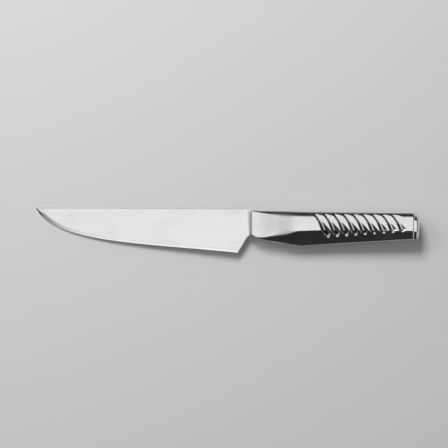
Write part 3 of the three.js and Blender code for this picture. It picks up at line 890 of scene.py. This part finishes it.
def leaning_skin(start, lean, inset, seam, rows):
    """Points of a skin on columns that lean with the flutes."""
    x = start[:, None] + np.zeros(sum(rows) + 1)
    for _ in range(LEAN_PASSES):
        outer = handle_section(x)
        section = shrunk(outer, inset)
        y, _ = skin_rows(section, seam, rows)
        x = start[:, None] + lean[:, None] * flute_lean(flute_band(outer, x, y)[1])
    section = shrunk(handle_section(x), inset)
    return x, *skin_rows(section, seam, rows)


def slot_rows(count):
    """Heights of the rows of the slot that takes the tang through the nose."""
    top = TANG_TOP + FIT_GAP
    low = TANG_LOW - FIT_GAP
    return np.concatenate([[top], np.linspace(top, low, count - 2), [low]])


def shell_blank():
    """Left half shell before its flutes are pressed: its outer skin, seam edges and inner skin."""
    start, lean = shell_columns()
    outer_x, outer_y, outer_z = leaning_skin(start, lean, 0, SEAM_HALF, OUTER_ROWS)
    inner_x, inner_y, inner_z = leaning_skin(start, lean, WALL, ROOT_HALF, INNER_ROWS)
    slot_y = slot_rows(inner_y.shape[1])
    slot_z = blade_half(start[:, None], slot_y) - WELD_SEAT + FIT_GAP
    slot_z[:, [0, -1]] = ROOT_HALF
    nose = (start <= NOSE_END)[:, None]
    inner_y = np.where(nose, slot_y, inner_y)
    inner_z = np.where(nose, slot_z, inner_z)
    low_x, top_x = outer_x[:, -1:], outer_x[:, :1]
    low_y = handle_section(low_x)[BOTTOM] + SEAM_DEPTH
    top_y = handle_section(top_x)[TOP] - SEAM_DEPTH
    root_z = np.full_like(top_y, ROOT_HALF)
    x = np.concatenate([outer_x, low_x, inner_x[:, ::-1], top_x], axis=1)
    y = np.concatenate([outer_y, low_y, inner_y[:, ::-1], top_y], axis=1)
    z = np.concatenate([outer_z, root_z, inner_z[:, ::-1], root_z], axis=1)
    band, fall = flute_band(handle_section(x), x, y)
    band[(x <= NOSE_END) | (np.abs(z) <= ROOT_HALF)] = -1
    return np.stack([x, y, z], axis=-1), band, fall


def flute_tree():
    """Presses a row of leaning flutes into a skin, from how far down the flutes its points are."""
    tree, given, out = shape_tree("Press flutes", [*FLUTE_SIZES, "Side"])

    def reckon(operation, *values):
        return sum_of(tree, operation, *values)

    band = wire(tree, "GeometryNodeInputNamedAttribute", "band", data_type="FLOAT")
    fall = wire(tree, "GeometryNodeInputNamedAttribute", "fall", data_type="FLOAT")
    share = wire(tree, "ShaderNodeClamp", reckon("DIVIDE", fall, given["Reach"]), 0.0, FLUTE_OVERRUN)
    along = wire(tree, "ShaderNodeSeparateXYZ", wire(tree, "GeometryNodeInputPosition"))
    turn = reckon("SINE", reckon("MULTIPLY", reckon("SUBTRACT", share, given["Bend shift"]), 2 * math.pi))
    start = reckon("SINE", reckon("MULTIPLY", given["Bend shift"], 2 * math.pi))
    swing = reckon("DIVIDE", reckon("MULTIPLY", given["Bend"], reckon("ADD", turn, start)), 2 * math.pi)
    lean = reckon("MULTIPLY", given["Lean"], reckon("ADD", share, swing))
    reach = reckon("SUBTRACT", reckon("SUBTRACT", along, given["First"]), lean)
    number = reckon("FLOOR", reckon("DIVIDE", reckon("ADD", reach, given["Wall"]), given["Pitch"]))
    last = reckon("SUBTRACT", given["Count"], 1.0)
    number = wire(tree, "ShaderNodeClamp", number, 0.0, last)
    aside = reckon("SUBTRACT", reach, reckon("MULTIPLY", number, given["Pitch"]))
    scoop = reckon("MAXIMUM", reckon("SUBTRACT", share, given["Scoop start"]), 0.0)
    fall_in = reckon("MULTIPLY", scoop, given["Scoop fall"])
    deep = reckon("ADD", fall_in, given["Depth"])
    wall = reckon("MULTIPLY", deep, reckon("ADD", reckon("DIVIDE", aside, given["Wall"]), 1.0))
    ramp = reckon("MULTIPLY", given["Depth"], reckon("SUBTRACT", 1.0, reckon("DIVIDE", aside, given["Ramp"])))
    ramp = reckon("MAXIMUM", ramp, 0.0)
    room = reckon("SUBTRACT", given["Ramp"], given["Scoop floor"])
    left = reckon("DIVIDE", reckon("SUBTRACT", 1.0, band), given["Scoop turn"])
    room = reckon("MULTIPLY", room, wire(tree, "ShaderNodeClamp", left, SCOOP_LEAST_ROOM, 1.0))
    slope = reckon("MAXIMUM", given["Scoop slope"], reckon("DIVIDE", fall_in, room))
    past = reckon("MAXIMUM", reckon("SUBTRACT", aside, given["Scoop floor"]), 0.0)
    side = reckon("MAXIMUM", reckon("SUBTRACT", fall_in, reckon("MULTIPLY", slope, past)), 0.0)
    press = reckon("MAXIMUM", reckon("MINIMUM", wall, reckon("ADD", ramp, side)), 0.0)
    middle = reckon("ABSOLUTE", reckon("MULTIPLY_ADD", band, 2.0, -1.0))
    lower = reckon("GREATER_THAN", band, 0.5)
    more = reckon("SUBTRACT", given["Low fullness"], given["Top fullness"])
    fullness = reckon("MULTIPLY_ADD", lower, more, given["Top fullness"])
    ends = reckon("MAXIMUM", reckon("SUBTRACT", 1.0, reckon("POWER", middle, fullness)), 0.0)
    hollow = reckon("MULTIPLY", press, ends)
    sink = reckon("MULTIPLY", hollow, reckon("MULTIPLY", given["Side"], -1.0))
    offset = wire(tree, "ShaderNodeCombineXYZ", 0.0, 0.0, sink)
    pressed = wire(tree, "GeometryNodeSetPosition", given["Geometry"], None, None, offset)
    kind = {"data_type": "FLOAT", "domain": "POINT"}
    # The pressed depth is stored as hollow, which the handle's finish turns into painted shade in the flute
    # ends.
    marked = wire(tree, "GeometryNodeStoreNamedAttribute", pressed, None, "hollow", hollow, **kind)
    end_shape_tree(tree, given, out, marked)
    return tree


def through_tree(mesh, tree, **values):
    """The plain mesh that a geometry tree makes of a mesh, with the tree's inputs by name."""
    blank = bpy.data.objects.new(mesh.name, mesh)
    bpy.context.scene.collection.objects.link(blank)
    modifier = blank.modifiers.new("tree", "NODES")
    modifier.node_group = tree
    for socket in tree.interface.items_tree:
        if socket.in_out == "INPUT" and socket.name in values:
            modifier[socket.identifier] = values[socket.name]
    graph = bpy.context.evaluated_depsgraph_get()
    made = bpy.data.meshes.new_from_object(blank.evaluated_get(graph), depsgraph=graph)
    bpy.data.objects.remove(blank)
    return made


def shell_mesh(side, tree):
    """One pressed half shell, on the left side at 1 or the right side at -1."""
    rings, band, fall = shell_blank()
    steps = np.linalg.norm(np.diff(rings[:, :, 1:], axis=1, prepend=rings[:, :1, 1:]), axis=-1)
    girth = np.cumsum(steps, axis=1)
    grain = np.stack([rings[:, :, 0], girth, np.full_like(girth, side)], axis=-1)
    blank = mesh_from_rings("blank", rings * (1, 1, side), grain=grain, band=band, fall=fall)
    sizes = {label: float(size) for label, size in FLUTE_SIZES.items()}
    mesh = through_tree(blank, tree, **sizes, Side=float(side), Finish=STEEL[HANDLE_STEEL])
    tidy_mesh(mesh, SHELL_SHARP)
    return mesh


# Welds


def bead_tree():
    """A flat oval bead along a line in the knife's mid-plane."""
    tree, given, out = shape_tree("Seam bead", ["Half width", "Height"])
    path = wire(tree, "GeometryNodeMeshToCurve", given["Geometry"])
    path = wire(tree, "GeometryNodeSetCurveNormal", path)
    path.node.mode = "Z_UP"
    circle = tree.nodes.new("GeometryNodeCurvePrimitiveCircle")
    circle.inputs["Resolution"].default_value = BEAD_SIDES
    circle.inputs["Radius"].default_value = 1
    scale = wire(tree, "ShaderNodeCombineXYZ", given["Height"], given["Half width"], 1.0)
    oval = wire(tree, "GeometryNodeTransform", circle.outputs["Curve"])
    tree.links.new(scale, oval.node.inputs["Scale"])
    bead = tree.nodes.new("GeometryNodeCurveToMesh")
    tree.links.new(path, bead.inputs["Curve"])
    tree.links.new(oval, bead.inputs["Profile Curve"])
    bead.inputs["Fill Caps"].default_value = True
    end_shape_tree(tree, given, out, bead.outputs["Mesh"])
    return tree


def seam_mesh(line, outward, tree):
    """The ground bead along one seam of the handle."""
    end = SHELL_END - END_ROUND
    turn = np.linspace(*BEAD_END_TURNS)
    x = np.concatenate([np.linspace(SHELL_FRONT, end, BEAD_STEPS), end + END_ROUND * np.sin(turn)])
    y = handle_section(x)[line] - outward * BEAD_SINK
    points = np.stack([x, y, np.zeros_like(x)], axis=-1)
    path = bpy.data.meshes.new("seam_line")
    path.from_pydata(points.tolist(), [(step, step + 1) for step in range(len(x) - 1)], [])
    sizes = {"Half width": BEAD_HALF, "Height": BEAD_HEIGHT}
    mesh = through_tree(path, tree, **sizes, Finish=STEEL[WELD_STEEL])
    place = np.zeros(len(mesh.vertices) * 3, np.float32)
    mesh.vertices.foreach_get("co", place)
    mesh.attributes.new("grain", "FLOAT_VECTOR", "POINT").data.foreach_set("vector", place)
    tidy_mesh(mesh, BEAD_SHARP)
    return mesh


def neck_weld_mesh(side):
    """Hollow fillet from one side of the blade up to the rounded front of the neck."""
    neck = handle_section(np.array([SHELL_FRONT + FRONT_ROUND]))
    front = tuple(float(value[0]) for value in shrunk(neck, FRONT_INSET))
    share = (1 - np.cos(np.linspace(0, np.pi, NECK_WELD_ROWS))) / 2
    y = mix(front[TOP], front[BOTTOM], share)
    crest = np.maximum(skin_height(front, y, 1), blade_half(BLADE_ROOT, y) + NECK_WELD_RISE)
    toe = BLADE_ROOT - mix(NECK_WELD_LEG_BACK, NECK_WELD_LEG_BELLY, share)
    head = SHELL_FRONT + NECK_WELD_LAP
    base = blade_half(toe, y)
    bend_x = mix(head, toe, NECK_WELD_HOLLOW)
    bend_z = mix(base, crest, NECK_WELD_HOLLOW)
    turn = np.linspace(0, 1, NECK_WELD_STEPS)[:, None]
    x = (1 - turn) ** 2 * toe + 2 * turn * (1 - turn) * bend_x + turn**2 * head
    z = (1 - turn) ** 2 * base + 2 * turn * (1 - turn) * bend_z + turn**2 * crest
    face = np.stack([x, y + np.zeros_like(x), z], axis=-1)
    back = np.stack([np.full_like(y, head), y, base * 0], axis=-1)[None]
    foot = np.stack([toe, y, base * 0], axis=-1)[None]
    rings = np.moveaxis(np.concatenate([face, back, foot]), 0, 1) * (1, 1, side)
    mesh = mesh_from_rings("neck_weld", rings, grain=rings[..., [1, 0, 2]])
    tidy_mesh(mesh, NECK_WELD_SHARP)
    return mesh


# Butt cap


def cap_loop(x, section, size, rounding):
    """Closed outline at a share of a section's size about its middle."""
    top, bottom = section[TOP], section[BOTTOM]
    turn = np.linspace(0, 2 * np.pi, CAP_SIDES, endpoint=False)
    middle = (top + bottom) / 2
    y = middle + (top - bottom) / 2 * np.cos(turn)
    z = size * skin_height(section, y, rounding) * np.where(turn > np.pi, -1, 1)
    return np.stack([np.full_like(y, x), mix(middle, y, size), z], axis=-1)


def cap_mesh():
    """Domed plug with its spigot, an eased front edge, a rim and a low dome."""
    end = tuple(float(value[0]) for value in handle_section(np.array([SHELL_END])))
    spigot = shrunk(end, WALL + FIT_GAP)
    rim = (end[TOP], end[TOP] - CAP_DROP, end[BOTTOM] + CAP_RISE, *end[BOTTOM:FOOT], CAP_FOOT)
    rings = [cap_loop(place, spigot, 1, BACK_ROUNDING) for place in (SHELL_END - CAP_SPIGOT, CAP_FRONT)]
    for turn in quarter_turn(CAP_EDGE_RINGS):
        place = CAP_FRONT + CAP_EDGE * (1 - math.cos(turn))
        eased = shrunk(rim, CAP_EDGE * (1 - math.sin(turn)))
        rings.append(cap_loop(place, eased, 1, CAP_ROUNDING))
    for turn in np.linspace(0, CAP_DOME_TURN, CAP_DOME_RINGS):
        place = CAP_FRONT + CAP_RIM + CAP_DOME * math.sin(turn)
        rings.append(cap_loop(place, rim, math.cos(turn), CAP_ROUNDING))
    rings = np.array(rings)
    mesh = mesh_from_rings("butt_cap", rings, grain=rings)
    tidy_mesh(mesh, CAP_SHARP)
    return mesh


# Assembly

make_camera()
make_light()
make_floor()

place_piece("blade", blade_mesh(), BLADE_STEEL)
flutes = flute_tree()
beads = bead_tree()
for name, side in (("left", 1), ("right", -1)):
    place_piece(f"{name}_handle_shell", shell_mesh(side, flutes), HANDLE_STEEL)
    place_piece(f"{name}_neck_weld", neck_weld_mesh(side), WELD_STEEL)
for name, line, outward in (("spine_weld", TOP, 1), ("belly_weld", BOTTOM, -1)):
    place_piece(name, seam_mesh(line, outward, beads), WELD_STEEL)
place_piece("butt_cap", cap_mesh(), CAP_STEEL)

bpy.context.scene.view_settings.view_transform = "Standard"
